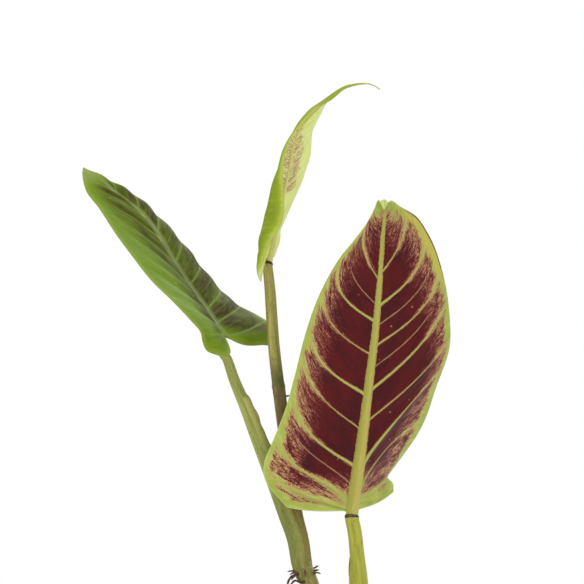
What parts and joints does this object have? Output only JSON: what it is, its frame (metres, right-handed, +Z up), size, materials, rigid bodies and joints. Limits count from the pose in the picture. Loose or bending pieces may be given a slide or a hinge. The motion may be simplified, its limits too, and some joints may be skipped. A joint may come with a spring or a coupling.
{
  "type": "potted philodendron subhastatum",
  "caption": "Free-standing houseplant: long ribbed leaves on round stalks, a short stem with aerial roots, and potting mix in a clay flower pot that stands on its foot.",
  "frame": {"origin": "centre of the pot's foot, on the surface that the pot stands on", "axes": "+Z up, +X to the right and +Y away from a viewer who faces the pictured side"},
  "size_m": [0.2194, 0.2011, 0.4512],
  "materials": {
    "maroon_leaf": "satin",
    "green_leaf": "satin",
    "young_leaf": "satin",
    "stalk": "satin",
    "stem_skin": "satin",
    "potting_mix": "matte",
    "clay": "matte"
  },
  "bodies": {
    "root": {"leaf_right": "maroon_leaf", "leaf_left": "green_leaf", "leaf_middle": "young_leaf", "petiole_right": "stalk", "petiole_left": "stalk", "petiole_middle": "stalk", "stem": "stem_skin", "soil": "potting_mix", "pot": "clay"}
  },
  "joints": []
}
